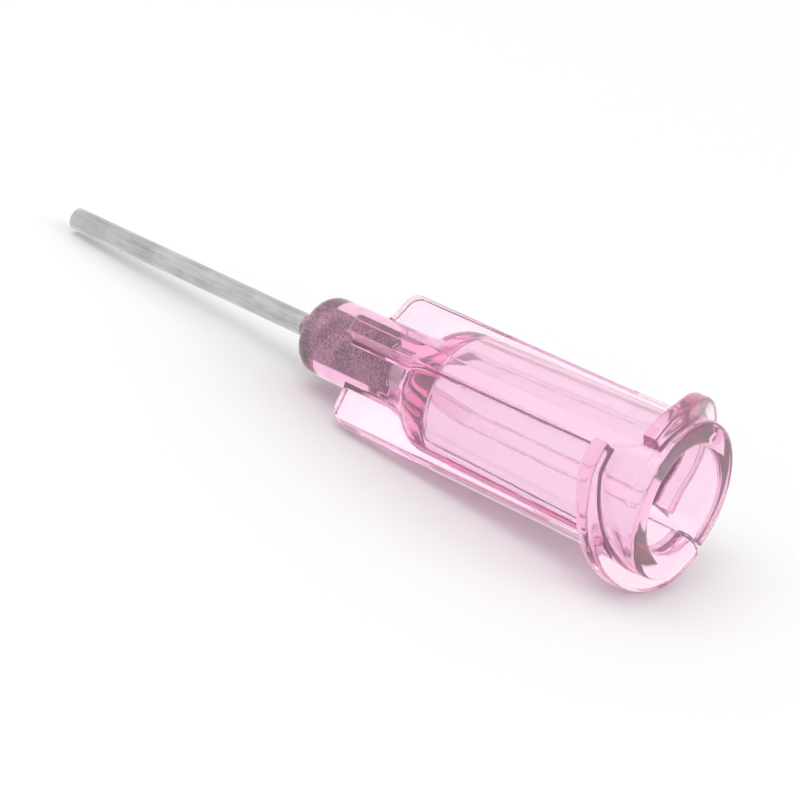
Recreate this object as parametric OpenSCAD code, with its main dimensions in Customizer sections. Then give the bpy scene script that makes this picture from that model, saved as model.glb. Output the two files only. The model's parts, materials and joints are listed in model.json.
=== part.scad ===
// Dispensing needle tip: a blunt steel needle tube glued into a clear
// moulded hub with a tapered lock socket, four grip ribs and a
// double-start lock thread. It lies on its side as it comes to rest.
// Millimetres. The hub is drawn along its own axis, from the mouth at
// z = 0 to the needle, and then laid down with the mouth's centre at the
// origin and the needle along +X.

/* [Needle tube] */
// Outer diameter of the steel tube
tube_od = 0.91; // [0.4:0.01:1.1]
// Wall of the steel tube
tube_wall = 0.15; // [0.08:0.01:0.19]
// Length of tube that stands out of the hub
tube_exposed = 12.7; // [9:0.1:14]
// Break on the tube's cut edge
tube_edge = 0.04; // [0.01:0.01:0.06]
// Radial clearance of the tube in the hub's pocket
tube_clearance = 0.02; // [0.01:0.01:0.05]
// Length of the close pocket that centres the tube's inner end
pocket_depth = 0.9; // [0.4:0.1:1.5]

/* [Hub body] */
// Length of the hub from the mouth to the nose's front
hub_length = 17.5; // [16.5:0.1:20]
// Diameter of the nose
nose_d = 3.16; // [2.6:0.02:3.6]
// Round on the nose's front edge
nose_round = 0.7; // [0.2:0.05:0.75]
// Length of the nose, from its front back to the shoulder
nose_length = 4.75; // [4.2:0.05:5.5]
// Length of the shoulder between the nose and the barrel
shoulder_length = 2.3; // [1.6:0.1:3]
// Diameter of the barrel at the shoulder
barrel_front_d = 5.1; // [4.8:0.02:5.3]
// Diameter of the barrel at the collar
barrel_rear_d = 5.5; // [5.3:0.02:5.8]
// Diameter of the collar round the mouth
collar_d = 6.24; // [5.9:0.02:6.6]
// Length of the plain ring at the mouth
ring_length = 0.5; // [0.35:0.05:0.8]
// Round on the collar's outer edge
collar_round = 0.15; // [0.05:0.01:0.25]

/* [Socket] */
// Diameter of the tapered socket at the mouth
socket_mouth_d = 4.3; // [4.1:0.01:4.4]
// Taper of the socket, as diameter over length
socket_taper = 0.06; // [0.04:0.005:0.08]
// Depth of the tapered socket
socket_depth = 10.6; // [9:0.1:11]
// Round that leads into the socket
socket_lead_in = 0.28; // [0.1:0.01:0.35]
// Length of the funnel at the socket's end
funnel_length = 1.4; // [1:0.1:1.6]

/* [Ribs] */
// Number of ribs
rib_count = 4; // [4]
// Thickness of a rib
rib_thickness = 0.8; // [0.5:0.05:1.1]
// Height of a rib's edge above the hub's axis at the nose
rib_front_r = 2.95; // [2.8:0.01:3.05]
// Height of a rib's edge above the hub's axis at the collar
rib_rear_r = 3.03; // [2.9:0.01:3.05]
// Distance from the nose's front back to the ribs
rib_setback = 2.6; // [1.5:0.1:3.5]
// How far a rib's front edge leans back
rib_lean = 0.2; // [0:0.05:0.5]
// Round on a rib's front corner
rib_corner = 0.55; // [0.1:0.05:0.7]

/* [Lock thread] */
// Number of thread starts
thread_starts = 2; // [2]
// Diameter over the thread's crests
thread_d = 7.7; // [7:0.05:8]
// Lead of the thread
thread_lead = 5; // [4:0.1:5.5]
// Width of a thread's crest
crest_width = 0.65; // [0.4:0.05:0.8]
// How much wider a thread is at its root
flank_spread = 0.3; // [0.1:0.05:0.5]
// Break on the crest's edges
crest_edge = 0.08; // [0.02:0.01:0.12]
// Distance from the mouth to a thread's far end
thread_far = 1.92; // [1.7:0.02:2.3]
// Distance from the mouth to a thread's near end
thread_near = 0.28; // [0.2:0.02:0.35]
// Angle over which a thread's far end runs level
thread_level = 24; // [0:1:40]
// Angle left free at each end of a thread
thread_gap = 6; // [3:0.5:10]

/* [Adhesive] */
// Diameter of the glue well in the nose
well_d = 1.3; // [1.2:0.02:1.7]
// Diameter that the glue wets on the nose's front
fillet_d = 1.74; // [1.72:0.02:1.9]
// Height of the glue's fillet up the tube
fillet_height = 0.65; // [0.3:0.05:1.2]

/* [Hidden] */
$fn = 96;

tube_r = tube_od / 2;
nose_r = nose_d / 2;
barrel_front_r = barrel_front_d / 2;
barrel_rear_r = barrel_rear_d / 2;
collar_r = collar_d / 2;
socket_mouth_r = socket_mouth_d / 2;
thread_r = thread_d / 2;
well_r = well_d / 2;
fillet_r = fillet_d / 2;

// The shoulder is two equal arcs, hollow at the nose and round at the barrel.
shoulder_end = hub_length - nose_length;
shoulder_start = shoulder_end - shoulder_length;
shoulder_turn = 2 * atan((barrel_front_r - nose_r) / shoulder_length);
shoulder_r = shoulder_length / (2 * sin(shoulder_turn));

socket_end_r = socket_mouth_r - socket_taper / 2 * socket_depth;
funnel_end = socket_depth + funnel_length;
// A stop as thick as this holds the tube's inner end off the funnel.
stop_thickness = 0.4;
tube_seat = funnel_end + stop_thickness;
throat_r = tube_r - tube_wall + 0.1;
well_floor = tube_seat + pocket_depth;
tube_tip = hub_length + tube_exposed;

rib_pitch = 360 / rib_count;
rib_front = hub_length - rib_setback;
rib_rear = thread_far - 0.7;
// Ribs and threads start this deep inside the barrel's wall.
root_r = barrel_rear_r - 0.2;
rib_root_r = nose_r - 0.4;
// The collar's stepped part lies this much below its plain ring, and runs
// between these angles past the rib where its thread starts.
collar_step = 0.02;
step_r = collar_r - collar_step;
step_ends = [-1.5 * thread_gap, 150];

// The hub lies on a thread's crest and on the two lowest ribs.
first_rib = rib_pitch / 2;
thread_rib = first_rib + rib_pitch;
crest_rest_z = thread_edge(thread_rib) + crest_width - crest_edge;
rib_rest_z = rib_front - rib_lean - rib_corner;
rib_rest_r = (rib_front_r + rib_thickness / 2) * cos(first_rib);
rest_tilt = atan((thread_r - rib_rest_r) / (rib_rest_z - crest_rest_z));

// Mouth-side edge of a thread, some degrees past the rib where it starts
function thread_edge(past) =
    max(thread_near, thread_far - max(0, past - thread_level) * thread_lead / 360);

// Needle-side edge of the collar's step. Under a thread it lies mid-crest,
// and across the rib it slants to the other thread's near end.
function step_edge(past) =
    past > thread_gap ? thread_edge(past) + crest_width / 2
        : lookup(past, [[-thread_gap, thread_near + crest_width],
            [thread_gap, thread_far + crest_width / 2]]);

// Points of an arc
function arc(centre, r, from, to, steps) =
    [for (i = [0:steps]) let (a = from + (to - from) * i / steps)
        centre + r * [cos(a), sin(a)]];

// A body swept round the hub's axis. Each section is a list of [r, z] that
// runs anticlockwise, and the angles rise.
module swept_ring(angles, sections) {
    count = len(sections[0]);
    last = len(angles) - 1;
    points = [for (i = [0:last]) for (p = sections[i])
        [p[0] * cos(angles[i]), p[0] * sin(angles[i]), p[1]]];
    sides = [for (i = [0:last - 1]) for (j = [0:count - 1])
        let (a = i * count + j, b = i * count + (j + 1) % count)
            each [[a, b, b + count], [a, b + count, a + count]]];
    first_cap = [for (j = [count - 1:-1:0]) j];
    last_cap = [for (j = [0:count - 1]) last * count + j];
    polyhedron(concat(points), concat(sides, [first_cap, last_cap]), convexity = 6);
}

// Outline of the turned part of the hub
module hub_outline() {
    polygon(concat(
        [[0, 0]],
        arc([collar_r - collar_round, collar_round], collar_round, -90, 0, 4),
        [[collar_r, ring_length], [barrel_rear_r, ring_length]],
        arc([barrel_front_r - shoulder_r, shoulder_start], shoulder_r, 0, shoulder_turn, 8),
        arc([nose_r + shoulder_r, shoulder_end], shoulder_r, 180 + shoulder_turn, 180, 8),
        arc([nose_r - nose_round, hub_length - nose_round], nose_round, 0, 90, 8),
        [[0, hub_length]]));
}

// Tapered socket, its lead-in and funnel, and the throat to the tube
module socket_outline() {
    lead_r = socket_mouth_r + socket_lead_in;
    polygon(concat(
        [[0, -1], [lead_r, -1]],
        arc([lead_r, socket_lead_in], socket_lead_in, -90, -180, 6),
        [[socket_end_r, socket_depth], [throat_r, funnel_end],
            [throat_r, tube_seat + 0.1], [0, tube_seat + 0.1]]));
}

module rib() {
    outline = concat(
        [[rib_root_r, rib_rear], [rib_rear_r, rib_rear]],
        arc([rib_front_r - rib_corner, rib_rest_z], rib_corner, 0, 90, 6),
        [[rib_root_r, rib_front]]);
    rotate([90, 0, 0])
        translate([0, 0, -rib_thickness / 2])
            linear_extrude(rib_thickness) polygon(outline);
}

// One start of the lock thread: a ridge from just past one rib to the next
module thread_start() {
    steps = 36;
    sweep = 180 - 2 * thread_gap;
    angles = [for (i = [0:steps]) thread_rib - thread_gap - sweep * (1 - i / steps)];
    sections = [for (a = angles) let (z = thread_edge(thread_rib - a)) [
        [root_r, z], [thread_r - crest_edge, z], [thread_r, z + crest_edge],
        [thread_r, z + crest_width - crest_edge],
        [thread_r - crest_edge, z + crest_width],
        [root_r, z + crest_width + flank_spread]]];
    swept_ring(angles, sections);
}

// The stepped part of the collar, between the mouth and one thread. It
// starts in a slant across the rib, from the other thread's near end.
module collar_part() {
    steps = 31;
    from = thread_rib - step_ends[1];
    to = thread_rib - step_ends[0];
    angles = [for (i = [0:steps]) from + (to - from) * i / steps];
    foot = thread_near / 2;
    inner_r = root_r - collar_step;
    sections = [for (a = angles) let (z = step_edge(thread_rib - a)) [
        [inner_r, foot], [step_r, foot], [step_r, z], [inner_r, z]]];
    swept_ring(angles, sections);
}

module hub_upright() {
    difference() {
        union() {
            rotate_extrude() hub_outline();
            for (k = [0:rib_count - 1])
                rotate([0, 0, first_rib + k * rib_pitch]) rib();
            for (k = [0:thread_starts - 1])
                rotate([0, 0, k * 360 / thread_starts]) {
                    thread_start();
                    collar_part();
                }
        }
        rotate_extrude() socket_outline();
        translate([0, 0, tube_seat])
            cylinder(h = pocket_depth + 0.1, r = tube_r + tube_clearance);
        translate([0, 0, well_floor])
            cylinder(h = hub_length - well_floor + 1, r = well_r);
    }
}

// Lays the hub's axis along +X with the needle low
module laid_down() {
    rotate([0, 90 + rest_tilt, 0]) children();
}

module hub() {
    color([0.93, 0.45, 0.68, 0.6]) laid_down() hub_upright();
}

module needle_tube() {
    bore_r = tube_r - tube_wall;
    color("silver") laid_down() rotate_extrude()
        polygon([[bore_r, tube_seat], [tube_r, tube_seat],
            [tube_r, tube_tip - tube_edge], [tube_r - tube_edge, tube_tip],
            [bore_r, tube_tip]]);
}

// Cured glue: it fills the well round the tube and climbs the tube outside
module adhesive() {
    steps = 8;
    rise = [for (i = [0:steps]) let (u = i / steps)
        [tube_r + (fillet_r - tube_r) * pow(1 - u, 2), hub_length + fillet_height * u]];
    color([0.55, 0.5, 0.55, 0.8]) laid_down() rotate_extrude()
        polygon(concat(
            [[tube_r, well_floor], [well_r, well_floor], [well_r, hub_length]], rise));
}

hub();
needle_tube();
adhesive();
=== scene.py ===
# %% [markdown]
# # A dispensing needle tip
#
# A dispensing tip is a blunt steel tube glued into a clear moulded hub. This lesson
# dresses its construction model: the solids fix every size, and Blender gives the
# smooth moulded surfaces, the clear plastic, the satin steel and the cured glue.

# %% Load the frame
import json
from math import asin, atan, cos, pi, radians, sin

import bpy
from mathutils import Matrix, Vector


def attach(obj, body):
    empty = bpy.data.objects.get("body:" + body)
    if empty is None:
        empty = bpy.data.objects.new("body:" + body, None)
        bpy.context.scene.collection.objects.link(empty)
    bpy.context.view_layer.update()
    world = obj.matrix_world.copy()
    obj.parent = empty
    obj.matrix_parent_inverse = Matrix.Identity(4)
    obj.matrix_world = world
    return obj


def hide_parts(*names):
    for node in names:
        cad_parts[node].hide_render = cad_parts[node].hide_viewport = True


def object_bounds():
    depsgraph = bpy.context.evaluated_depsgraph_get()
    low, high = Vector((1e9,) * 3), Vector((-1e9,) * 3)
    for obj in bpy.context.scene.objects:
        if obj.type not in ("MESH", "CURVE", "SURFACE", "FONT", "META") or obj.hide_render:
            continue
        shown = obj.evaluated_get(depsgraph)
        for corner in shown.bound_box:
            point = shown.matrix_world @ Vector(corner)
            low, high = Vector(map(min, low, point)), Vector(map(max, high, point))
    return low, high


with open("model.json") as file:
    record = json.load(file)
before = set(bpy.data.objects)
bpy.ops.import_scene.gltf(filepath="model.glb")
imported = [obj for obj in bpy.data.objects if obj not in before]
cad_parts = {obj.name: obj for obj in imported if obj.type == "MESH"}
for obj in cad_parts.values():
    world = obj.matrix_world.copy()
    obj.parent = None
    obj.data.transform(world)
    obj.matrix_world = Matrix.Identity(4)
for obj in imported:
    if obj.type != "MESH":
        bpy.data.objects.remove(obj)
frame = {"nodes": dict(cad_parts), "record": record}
cad_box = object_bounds()
root = "root"
print("nodes:", sorted(frame["nodes"]))

# %% [markdown]
# ## Sizes
#
# The hub is drawn upright in millimetres, with its mouth at z = 0 and the needle
# above it, because its profile is easy to write that way. The record's socket
# mount says how its axis lies, and one matrix lays each finished mesh down.

# %% The hub's own sizes, in millimetres and degrees
# places along the axis, from the mouth
HUB_LENGTH, NOSE_END, TUBE_TIP = 17.5, 12.75, 30.2
SOCKET_DEPTH, FUNNEL_END, TUBE_SEAT, WELL_FLOOR = 10.6, 12.0, 12.4, 13.3
# the tube and the glue round it
TUBE_R, TUBE_WALL, TUBE_EDGE, THROAT_R = 0.455, 0.15, 0.04, 0.405
WELL_R, FILLET_R, FILLET_HEIGHT = 0.65, 0.87, 0.65
# how far plastic and glue reach into what they hold, so that no air shows between
TUBE_BITE, GLUE_BITE = 0.01, 0.02
# the outside of the turned body
NOSE_R, NOSE_ROUND, SHOULDER = 1.58, 0.7, 2.3
BARREL_FRONT_R, BARREL_REAR_R = 2.55, 2.75
COLLAR_R, COLLAR_ROUND, COLLAR_LENGTH = 3.12, 0.15, 0.5
# the socket, and the round where its wall turns into the funnel
SOCKET_R, SOCKET_TAPER, LEAD_IN = 2.15, 0.06, 0.28
FUNNEL_ROUND, FUNNEL_EARLY = 0.3, 0.25
# the ribs, whose hidden inner corners lie in the wall
RIBS, RIB_HALF, RIB_FRONT_R, RIB_REAR_R = 4, 0.4, 2.95, 3.03
RIB_FRONT, RIB_REAR, RIB_LEAN, RIB_CORNER = 14.9, 1.22, 0.2, 0.55
RIB_ROOT_R, RIB_NOSE_ROOT_R, NOSE_SINK, SOCKET_SINK, RIB_HEEL_R = 2.3, 1.2, 0.1, 0.2, 2.2
FIRST_RIB = 45
# the lock thread
STARTS, CREST_R, CREST_WIDTH, CREST_EDGE, FLANK = 2, 3.85, 0.65, 0.08, 0.3
THREAD_FAR, THREAD_NEAR, LEAD, LEVEL, GAP = 1.92, 0.28, 5.0, 24.0, 6.0
THREAD_RIB = 135
ROOT_R = BARREL_REAR_R - 0.2
# the collar's slanting step
STEP_START, STEP_R, STEP_FIRST, STEP_LAST = 0.1, COLLAR_R - 0.02, -1.5 * GAP, 150

# %% The matrix that lays the hub down, from the socket's axis
mounts = {m["name"]: m for m in frame["record"]["mounts"]}
along = -Vector(mounts["socket"]["axis"]).normalized()
side = Vector((0, 1, 0))
low = side.cross(along)
MM = 0.001
LAY = Matrix((low, side, along)).transposed().to_4x4() @ Matrix.Scale(MM, 4)
print("needle points along", [round(v, 4) for v in along])

# %% [markdown]
# ## The camera
#
# A long lens far away keeps a small part free of strong perspective. The camera
# circles a point inside the hub, looks down on it from the mouth's side, and is
# rolled so that the needle climbs to the left. `stand` also places the lamps.

# %% Place the camera
VIEW_AZIMUTH, VIEW_ELEVATION, VIEW_ROLL = 121.66, 27.02, 16.01
VIEW_DISTANCE, VIEW_LENS = 0.1485, 175.5
VIEW_TARGET = Vector((0.0126, 0.0005, -0.00236))


def stand(made, azimuth, elevation, distance, roll=0.0):
    a, e = radians(azimuth), radians(elevation)
    outward = Vector((cos(e) * cos(a), cos(e) * sin(a), sin(e)))
    turn = outward.to_track_quat("Z", "Y").to_matrix().to_4x4()
    place = Matrix.Translation(VIEW_TARGET + outward * distance)
    made.matrix_world = place @ turn @ Matrix.Rotation(radians(roll), 4, "Z")
    bpy.context.scene.collection.objects.link(made)
    return made


lens = bpy.data.cameras.new("view_camera")
lens.lens = VIEW_LENS
lens.clip_start, lens.clip_end = 0.01, 10
camera = stand(bpy.data.objects.new("view_camera", lens),
               VIEW_AZIMUTH, VIEW_ELEVATION, VIEW_DISTANCE, VIEW_ROLL)
bpy.context.scene.camera = camera
print("camera at", [round(v, 3) for v in camera.location])

# %% [markdown]
# ## Writing shader maths
#
# A material is a graph of nodes. `Wire` wraps a socket, so that `grain * 0.2 + 0.1`
# adds the Math nodes it stands for. `Paint` holds one material, and its `node` adds
# any node from its type, its settings and its inputs.


# %% A socket that can be added and multiplied
class Wire:
    def __init__(self, paint, socket):
        self.paint, self.socket = paint, socket

    def _join(self, how, first, second):
        return self.paint.node("ShaderNodeMath", {"operation": how}, {0: first, 1: second})

    def __add__(self, other):
        return self._join("ADD", self, other)

    def __mul__(self, other):
        return self._join("MULTIPLY", self, other)


class Paint:
    def __init__(self, name):
        self.material = bpy.data.materials.new(name)
        self.material.use_nodes = True
        self.tree = self.material.node_tree
        self.tree.nodes.clear()

    def node(self, kind, settings=None, inputs=None, output=0):
        made = self.tree.nodes.new(kind)
        for key, value in (settings or {}).items():
            setattr(made, key, value)
        for key, value in (inputs or {}).items():
            socket = made.inputs[key]
            if isinstance(value, Wire):
                self.tree.links.new(value.socket, socket)
            else:
                socket.default_value = value
        return Wire(self, made.outputs[output])

    def place(self, scale, stretch=(1, 1, 1), turn=(0, 0, 0)):
        where = self.node("ShaderNodeTexCoord", output="Object")
        size = [scale * s for s in stretch]
        return self.node("ShaderNodeMapping", {"vector_type": "TEXTURE"},
                         {"Vector": where, "Rotation": turn,
                          "Scale": [1 / s for s in size]})

    def noise(self, where, detail=2.0, rough=0.5):
        return self.node("ShaderNodeTexNoise", {"noise_dimensions": "3D"}, {
            "Vector": where, "Scale": 1.0, "Detail": detail, "Roughness": rough})

    def ramp(self, value, stops):
        made = self.tree.nodes.new("ShaderNodeValToRGB")
        bar = made.color_ramp
        while len(bar.elements) < len(stops):
            bar.elements.new(0.5)
        for element, (at, colour) in zip(bar.elements, stops):
            element.position = at
            element.color = (*colour, 1)
        self.tree.links.new(value.socket, made.inputs["Fac"])
        return Wire(self, made.outputs["Color"])

    def bump(self, height, strength, distance):
        return self.node("ShaderNodeBump", inputs={
            "Height": height, "Strength": strength, "Distance": distance})

    def finish(self, surface, volume=None):
        made = self.tree.nodes.new("ShaderNodeOutputMaterial")
        self.tree.links.new(surface.socket, made.inputs["Surface"])
        if volume is not None:
            self.tree.links.new(volume.socket, made.inputs["Volume"])
        return self.material


# %% [markdown]
# ## The materials
#
# The hub is clear plastic tinted through its whole thickness, so the colour belongs
# to the volume: light loses its green on the way, and thick places and steep edges
# turn deep pink by themselves. The steel is drawn tube with a satin grain along its
# length. The cured glue is mauve, half clear and full of tiny bubbles.


# %% Clear pink plastic
def clear_pink():
    paint = Paint("clear_pink_plastic")
    drift = paint.noise(paint.place(600), 3.0)
    fine = paint.noise(paint.place(5000), 2.0)
    surface = paint.node("ShaderNodeBsdfPrincipled", inputs={
        "Base Color": (1.0, 0.95, 0.985, 1), "Roughness": drift * 0.06 + 0.03,
        "IOR": 1.49, "Transmission Weight": 0.9,
        "Normal": paint.bump(drift + fine * 0.15, 0.25, 0.00002)})
    tint = paint.node("ShaderNodeVolumeAbsorption",
                      inputs={"Color": (0.97, 0.2, 0.64, 1), "Density": 270.0})
    return paint.finish(surface, tint)


# %% Satin steel
def satin_steel():
    paint = Paint("satin_steel")
    lie = asin(-along.z)
    grain = paint.noise(paint.place(9000, (0.06, 1, 1), (0, lie, 0)), 3.0, 0.6)
    blotch = paint.noise(paint.place(1500, (0.5, 1, 1), (0, lie, 0)), 2.0)
    colour = paint.ramp(grain * 0.5 + blotch * 0.5,
                        [(0.3, (0.33, 0.33, 0.34)), (0.7, (0.62, 0.62, 0.63))])
    surface = paint.node("ShaderNodeBsdfPrincipled", inputs={
        "Base Color": colour, "Metallic": 1.0, "Roughness": grain * 0.2 + 0.1,
        "Normal": paint.bump(grain, 0.3, 0.00001)})
    return paint.finish(surface)


# %% Cured glue full of bubbles
def bubbly_glue():
    paint = Paint("cured_glue")
    speck = paint.noise(paint.place(14000), 2.0, 0.7)
    patch = paint.noise(paint.place(1300), 2.0)
    tone = paint.ramp(speck * 0.65 + patch * 0.35, [
        (0.40, (0.14, 0.03, 0.09)), (0.50, (0.48, 0.16, 0.33)), (0.58, (0.95, 0.66, 0.82))])
    surface = paint.node("ShaderNodeBsdfPrincipled", inputs={
        "Base Color": tone, "Roughness": speck * 0.3 + 0.3, "Transmission Weight": 0.6,
        "Normal": paint.bump(speck, 0.3, 0.00002)})
    return paint.finish(surface)


pink, steel, glue = clear_pink(), satin_steel(), bubbly_glue()
print("materials:", pink.name, steel.name, glue.name)

# %% [markdown]
# ## Closed shapes from outlines
#
# Three helpers cover the whole part: one turns a closed outline round the axis, one
# gives a flat outline a thickness, and one sweeps a section round the axis while it
# changes. Each returns points and faces, and `arc` rounds the corners.


# %% Outline helpers
def arc(centre, r, start, end, steps=10):
    turns = [radians(start + (end - start) * i / steps) for i in range(steps + 1)]
    return [(centre[0] + r * cos(t), centre[1] + r * sin(t)) for t in turns]


def new_object(name, points, faces, material=None, smooth=True):
    mesh = bpy.data.meshes.new(name)
    mesh.from_pydata([tuple(p) for p in points], [], faces)
    mesh.validate()
    mesh.polygons.foreach_set("use_smooth", [smooth] * len(mesh.polygons))
    if material:
        mesh.materials.append(material)
    made = bpy.data.objects.new(name, mesh)
    bpy.context.scene.collection.objects.link(made)
    return made


def swept(sections, turns, closed):
    count, last = len(sections[0]), len(turns)
    points = [(r * cos(t), r * sin(t), z)
              for t, section in zip(turns, sections) for r, z in section]
    faces = []
    for i in range(last if closed else last - 1):
        for j in range(count):
            a, b = i * count, (i + 1) % last * count
            k = (j + 1) % count
            faces.append((a + j, b + j, b + k, a + k))
    if not closed:
        faces.append(tuple(range(count)))
        faces.append(tuple((last - 1) * count + j for j in reversed(range(count))))
    return points, faces


def turned(outline, segments):
    turns = [2 * pi * i / segments for i in range(segments)]
    return swept([outline] * segments, turns, True)


def slab(outline, half):
    count = len(outline)
    points = [(r, y, z) for y in (-half, half) for r, z in outline]
    faces = [(j, (j + 1) % count, (j + 1) % count + count, j + count) for j in range(count)]
    faces.append(tuple(reversed(range(count))))
    faces.append(tuple(range(count, 2 * count)))
    return points, faces


# %% [markdown]
# ## The hub's turned body
#
# One closed outline holds the outside and the inside: collar, barrel, an S-shaped
# shoulder, nose, glue well, pocket, funnel and tapered socket.


# %% Turn the body
def hub_outline():
    shoulder_start = NOSE_END - SHOULDER
    bend = 2 * atan((BARREL_FRONT_R - NOSE_R) / SHOULDER)
    r = SHOULDER / (2 * sin(bend))
    turn = bend * 180 / pi
    pocket_r = TUBE_R - TUBE_BITE
    end_r = SOCKET_R - SOCKET_TAPER / 2 * SOCKET_DEPTH
    outside = (arc((COLLAR_R - COLLAR_ROUND, COLLAR_ROUND), COLLAR_ROUND, -90, 0)
               + [(COLLAR_R, COLLAR_LENGTH), (BARREL_REAR_R, COLLAR_LENGTH)]
               + arc((BARREL_FRONT_R - r, shoulder_start), r, 0, turn)
               + arc((NOSE_R + r, NOSE_END), r, 180 + turn, 180)
               + arc((NOSE_R - NOSE_ROUND, HUB_LENGTH - NOSE_ROUND), NOSE_ROUND, 0, 90))
    inside = ([(WELL_R, HUB_LENGTH), (WELL_R, WELL_FLOOR), (pocket_r, WELL_FLOOR),
               (pocket_r, TUBE_SEAT), (THROAT_R, TUBE_SEAT), (THROAT_R, FUNNEL_END)]
              + arc((end_r - FUNNEL_ROUND, SOCKET_DEPTH - FUNNEL_EARLY), FUNNEL_ROUND, 60, 0, 5)
              + arc((SOCKET_R + LEAD_IN, LEAD_IN), LEAD_IN, 180, 270))
    return outside + inside


BODY_SEGMENTS = 160
body = new_object("hub_body", *turned(hub_outline(), BODY_SEGMENTS))
print("body faces:", len(body.data.polygons))

# %% [markdown]
# ## Ribs and threads
#
# The ribs and the two thread starts repeat round the axis, so each is drawn once and
# a Geometry Nodes tree sets the copies on a ring. The thread climbs five
# millimetres a turn, and its far end first runs level beside a rib. A slanting step
# of the collar joins each start to the other thread's near end.


# %% One rib, one thread and one collar step
def rib_outline():
    top = RIB_FRONT - RIB_LEAN - RIB_CORNER
    return ([(RIB_ROOT_R, RIB_REAR), (RIB_REAR_R, RIB_REAR)]
            + arc((RIB_FRONT_R - RIB_CORNER, top), RIB_CORNER, 0, 90, 8)
            + [(RIB_NOSE_ROOT_R, RIB_FRONT), (RIB_NOSE_ROOT_R, NOSE_END - NOSE_SINK),
               (RIB_HEEL_R, SOCKET_DEPTH - SOCKET_SINK)])


def thread_edge(past):
    return max(THREAD_NEAR, THREAD_FAR - max(0.0, past - LEVEL) * LEAD / 360)


def step_edge(past):
    if past > GAP:
        return thread_edge(past) + CREST_WIDTH / 2
    far, near = THREAD_FAR + CREST_WIDTH / 2, THREAD_NEAR + CREST_WIDTH
    return far + (near - far) * min(1, (GAP - past) / (2 * GAP))


def thread_section(z):
    return [(ROOT_R, z), (CREST_R - CREST_EDGE, z), (CREST_R, z + CREST_EDGE),
            (CREST_R, z + CREST_WIDTH - CREST_EDGE), (CREST_R - CREST_EDGE, z + CREST_WIDTH),
            (ROOT_R, z + CREST_WIDTH + FLANK)]


def step_section(z):
    return [(ROOT_R, STEP_START), (STEP_R, STEP_START), (STEP_R, z), (ROOT_R, z)]


def round_the_axis(section, edge, first, last, steps):
    past = [last + (first - last) * i / steps for i in range(steps + 1)]
    turns = [radians(THREAD_RIB - p) for p in past]
    return swept([section(edge(p)) for p in past], turns, False)


THREAD_STATIONS, STEP_STATIONS = 120, 110
rib = new_object("rib", *slab(rib_outline(), RIB_HALF))
thread = new_object("thread", *round_the_axis(
    thread_section, thread_edge, GAP, 180 - GAP, THREAD_STATIONS))
step = new_object("step", *round_the_axis(
    step_section, step_edge, STEP_FIRST, STEP_LAST, STEP_STATIONS))
print("drawn once:", rib.name, thread.name, step.name)


# %% A tree that sets copies on a ring
def ring_tree():
    tree = bpy.data.node_groups.new("copies_on_a_ring", "GeometryNodeTree")
    face = tree.interface
    face.new_socket("Geometry", in_out="INPUT", socket_type="NodeSocketGeometry")
    face.new_socket("Count", in_out="INPUT", socket_type="NodeSocketInt")
    face.new_socket("First Angle", in_out="INPUT", socket_type="NodeSocketFloat")
    face.new_socket("Material", in_out="INPUT", socket_type="NodeSocketMaterial")
    face.new_socket("Geometry", in_out="OUTPUT", socket_type="NodeSocketGeometry")
    add, link = tree.nodes.new, tree.links.new
    given, out = add("NodeGroupInput"), add("NodeGroupOutput")
    points, copies = add("GeometryNodePoints"), add("GeometryNodeInstanceOnPoints")
    index, share = add("GeometryNodeInputIndex"), add("ShaderNodeMath")
    turn, angle = add("ShaderNodeMath"), add("ShaderNodeCombineXYZ")
    real, coat = add("GeometryNodeRealizeInstances"), add("GeometryNodeSetMaterial")
    share.operation, turn.operation = "DIVIDE", "MULTIPLY_ADD"
    turn.inputs[1].default_value = 2 * pi
    link(given.outputs["Count"], points.inputs["Count"])
    link(index.outputs[0], share.inputs[0])
    link(given.outputs["Count"], share.inputs[1])
    link(share.outputs[0], turn.inputs[0])
    link(given.outputs["First Angle"], turn.inputs[2])
    link(turn.outputs[0], angle.inputs["Z"])
    link(points.outputs[0], copies.inputs["Points"])
    link(given.outputs["Geometry"], copies.inputs["Instance"])
    link(angle.outputs[0], copies.inputs["Rotation"])
    link(copies.outputs[0], real.inputs[0])
    link(real.outputs[0], coat.inputs["Geometry"])
    link(given.outputs["Material"], coat.inputs["Material"])
    link(coat.outputs[0], out.inputs[0])
    return tree


RING_TREE = ring_tree()


def set_on_ring(part, count, first_angle):
    modifier = part.modifiers.new("ring", "NODES")
    modifier.node_group = RING_TREE
    values = {"Count": count, "First Angle": radians(first_angle), "Material": pink}
    for item in RING_TREE.interface.items_tree:
        if item.in_out == "INPUT" and item.name in values:
            modifier[item.identifier] = values[item.name]
    return plain(part)


def plain(part):
    bpy.context.view_layer.update()
    seen = part.evaluated_get(bpy.context.evaluated_depsgraph_get())
    mesh = bpy.data.meshes.new_from_object(seen)
    part.modifiers.clear()
    part.data = mesh
    return part


set_on_ring(rib, RIBS, FIRST_RIB)
set_on_ring(thread, STARTS, 0)
set_on_ring(step, STARTS, 0)
print("rib, thread and step faces:", [len(o.data.polygons) for o in (rib, thread, step)])

# %% [markdown]
# ## One moulding
#
# A moulded part has no seams between its forms, and light bends at every face that
# a join leaves inside. A voxel remesh melts the closed shapes into one skin, and a
# little smoothing gives the small rounds that a mould has. The last step thins
# the mesh where it is flat.

# %% Melt the shapes together
VOXEL = 0.06
SMOOTHING = 4
KEEP = 0.45  # the share of the faces that thinning leaves


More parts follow.
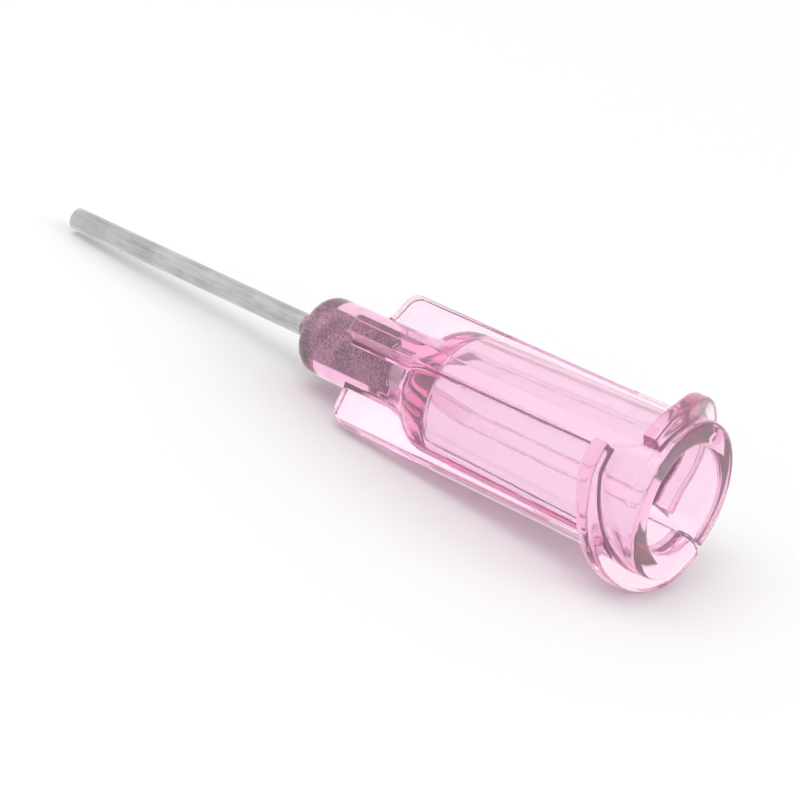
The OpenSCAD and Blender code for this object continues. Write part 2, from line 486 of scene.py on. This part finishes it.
def melt(name, parts):
    points, faces = [], []
    for part in parts:
        faces += [[v + len(points) for v in p.vertices] for p in part.data.polygons]
        points += [tuple(v.co) for v in part.data.vertices]
        bpy.data.objects.remove(part)
    made = new_object(name, points, faces, pink)
    skin = made.modifiers.new("skin", "REMESH")
    skin.mode, skin.voxel_size = "VOXEL", VOXEL
    soft = made.modifiers.new("soft", "SMOOTH")
    soft.factor, soft.iterations = 0.5, SMOOTHING
    thin = made.modifiers.new("thin", "DECIMATE")
    thin.ratio = KEEP
    return plain(made)


hub = melt("hub_moulding", [body, rib, thread, step])
hub.data.polygons.foreach_set("use_smooth", [True] * len(hub.data.polygons))
hub.data.transform(LAY)
if not hub.data.materials:
    hub.data.materials.append(pink)
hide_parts("hub")
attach(hub, root)
print("hub faces:", len(hub.data.polygons))

# %% [markdown]
# ## The needle tube
#
# The tube is cut square and lightly broken at its edges, inside and out. Its outline
# is a closed ring, so the hole goes right through.


# %% Turn the tube
SHARP, TUBE_SEGMENTS, GLUE_SEGMENTS = 35, 96, 72


def tube_outline():
    inner, soft = TUBE_R - TUBE_WALL, TUBE_EDGE / 2
    return ([(inner, TUBE_SEAT), (TUBE_R, TUBE_SEAT), (TUBE_R, HUB_LENGTH)]
            + arc((TUBE_R - TUBE_EDGE, TUBE_TIP - TUBE_EDGE), TUBE_EDGE, 0, 90, 4)
            + arc((inner + soft, TUBE_TIP - soft), soft, 90, 180, 3))


def finished(name, outline, segments, material, node):
    made = new_object(name, *turned(outline, segments), material)
    made.data.set_sharp_from_angle(angle=radians(SHARP))
    made.data.transform(LAY)
    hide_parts(node)
    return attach(made, root)


tube = finished("steel_tube", tube_outline(), TUBE_SEGMENTS, steel, "needle_tube")
print("tube faces:", len(tube.data.polygons))

# %% [markdown]
# ## The glue
#
# The glue fills the well round the tube and climbs it outside in a hollow cone. It
# reaches a hair into the plastic, so that no sheet of air shows between them.


# %% Turn the glue
def glue_outline():
    inner, steps = TUBE_R - TUBE_BITE, 10
    wall, floor, top = WELL_R + GLUE_BITE, WELL_FLOOR - GLUE_BITE, HUB_LENGTH - GLUE_BITE
    rise = [(inner + (FILLET_R - TUBE_R) * (1 - i / steps) ** 2,
             HUB_LENGTH + FILLET_HEIGHT * i / steps) for i in range(steps + 1)]
    return [(inner, floor), (wall, floor), (wall, top), (FILLET_R, top)] + rise


glue_fill = finished("glue_fill", glue_outline(), GLUE_SEGMENTS, glue, "adhesive")
print("glue faces:", len(glue_fill.data.polygons))

# %% [markdown]
# ## Floor, light and background
#
# Clear plastic is lit by what stands behind it, so the room is white to every ray
# that the eye follows: straight, mirrored or bent. The floor keeps its shadow where
# it is seen straight, and glows white to mirrored and bent rays, or the plastic
# would show its own dark shadow. The lamps stay soft.


# %% The floor
ROOM_GLOW, ROOM_SEEN = 0.8, 1.08
FLOOR_REACH, FLOOR_TONE = 1.5, 0.93


def white_floor():
    z, reach = cad_box[0][2], FLOOR_REACH
    corners = [(-reach, -reach, z), (reach, -reach, z), (reach, reach, z), (-reach, reach, z)]
    floor = new_object("floor", corners, [(0, 1, 2, 3)], smooth=False)
    paint = Paint("white_floor")
    surface = paint.node("ShaderNodeBsdfPrincipled", inputs={
        "Base Color": (FLOOR_TONE, FLOOR_TONE, FLOOR_TONE, 1), "Roughness": 0.9})
    glow = paint.node("ShaderNodeEmission", inputs={
        "Color": (1, 1, 1, 1), "Strength": ROOM_SEEN})
    bent = (paint.node("ShaderNodeLightPath", output="Is Transmission Ray")
            + paint.node("ShaderNodeLightPath", output="Is Glossy Ray"))
    both = paint.node("ShaderNodeMixShader", inputs={0: bent, 1: surface, 2: glow})
    floor.data.materials.append(paint.finish(both))


white_floor()
print("floor at z =", round(cad_box[0][2] / MM, 3), "mm")


# %% The lamps
def lamp(name, azimuth, elevation, distance, size, power):
    data = bpy.data.lights.new(name, "AREA")
    data.shape, data.size, data.energy = "SQUARE", size, power
    stand(bpy.data.objects.new(name, data), azimuth, elevation, distance)
    print(name, "of", power, "W")


lamp("top_softbox", 60, 65, 0.35, 0.25, 0.35)
lamp("side_softbox", 200, 35, 0.4, 0.2, 0.2)


# %% The room
def white_room():
    world = bpy.data.worlds.new("white_room")
    world.use_nodes = True
    tree = world.node_tree
    tree.nodes.clear()
    path, pick = tree.nodes.new("ShaderNodeLightPath"), tree.nodes.new("ShaderNodeMixShader")
    seen, glow = tree.nodes.new("ShaderNodeBackground"), tree.nodes.new("ShaderNodeBackground")
    out = tree.nodes.new("ShaderNodeOutputWorld")
    total = path.outputs["Is Camera Ray"]
    for name in ("Is Glossy Ray", "Is Transmission Ray"):
        join = tree.nodes.new("ShaderNodeMath")
        join.operation, join.use_clamp = "ADD", True
        tree.links.new(total, join.inputs[0])
        tree.links.new(path.outputs[name], join.inputs[1])
        total = join.outputs[0]
    for light, strength in ((glow, ROOM_GLOW), (seen, ROOM_SEEN)):
        light.inputs["Strength"].default_value = strength
        light.inputs["Color"].default_value = (1, 1, 1, 1)
    tree.links.new(total, pick.inputs["Fac"])
    tree.links.new(glow.outputs[0], pick.inputs[1])
    tree.links.new(seen.outputs[0], pick.inputs[2])
    tree.links.new(pick.outputs[0], out.inputs["Surface"])
    bpy.context.scene.world = world


white_room()
print("room strength:", ROOM_GLOW, "as light,", ROOM_SEEN, "as seen")
bpy.context.scene.view_settings.view_transform = "Standard"
